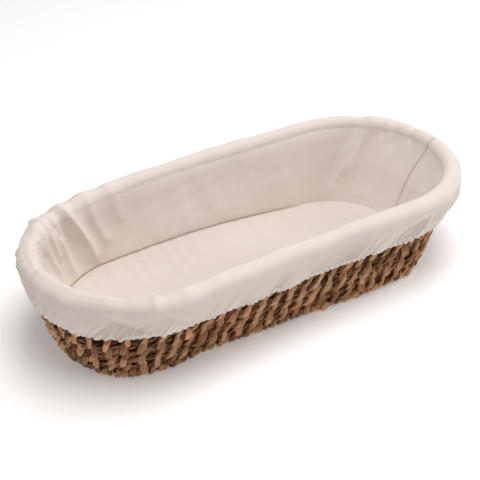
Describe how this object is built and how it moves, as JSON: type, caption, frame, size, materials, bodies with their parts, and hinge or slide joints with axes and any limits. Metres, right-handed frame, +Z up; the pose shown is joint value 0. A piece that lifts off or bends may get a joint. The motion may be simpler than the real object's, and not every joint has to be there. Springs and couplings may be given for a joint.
{
  "type": "banneton basket",
  "caption": "Long oval proving basket of coiled, laced seagrass with a lift-off cotton liner that folds over the rim to a gathered elastic hem.",
  "frame": {"origin": "middle of the foot on the surface that the basket stands on", "axes": "+X along the basket, towards the liner's upright seam; +Y across it; +Z up"},
  "size_m": [0.38, 0.175, 0.082],
  "materials": {
    "seagrass_coil": "dry twisted grass, brown with paler and darker strands",
    "seagrass_lacing": "dry split grass strands, tan on their crests",
    "cotton": "plain-weave ivory cotton, soft and matt",
    "seam_binding": "bound cotton seam in beige thread",
    "elastic": "braided white elastic",
    "thread": "cotton sewing thread"
  },
  "bodies": {
    "basket": {"base_core": "seagrass_coil", "base_ring_1": "seagrass_coil", "base_ring_2": "seagrass_coil", "base_ring_3": "seagrass_coil", "base_ring_4": "seagrass_coil", "base_ring_5": "seagrass_coil", "base_ring_6": "seagrass_coil", "foot_coil": "seagrass_coil", "wall_coil_1": "seagrass_coil", "wall_coil_2": "seagrass_coil", "wall_coil_3": "seagrass_coil", "wall_coil_4": "seagrass_coil", "wall_coil_5": "seagrass_coil", "wall_coil_6": "seagrass_coil", "wall_coil_7": "seagrass_coil", "wall_coil_8": "seagrass_coil", "rim_coil": "seagrass_coil", "wall_lacing": "seagrass_lacing", "base_lacing": "seagrass_lacing"},
    "liner": {"liner_floor": "cotton", "liner_wall": "cotton", "liner_fold": "cotton", "liner_skirt": "cotton", "hem_casing": "cotton", "hem_elastic": "elastic", "hem_thread": "thread", "floor_seam": "seam_binding", "wall_seam": "seam_binding"}
  },
  "joints": [
    {"name": "liner_lift", "type": "slide", "parent": "basket", "child": "liner", "axis": [0, 0, 1], "range_m": [0, 0.1], "deforming": ["liner_skirt", "hem_casing", "hem_elastic", "hem_thread"]}
  ]
}
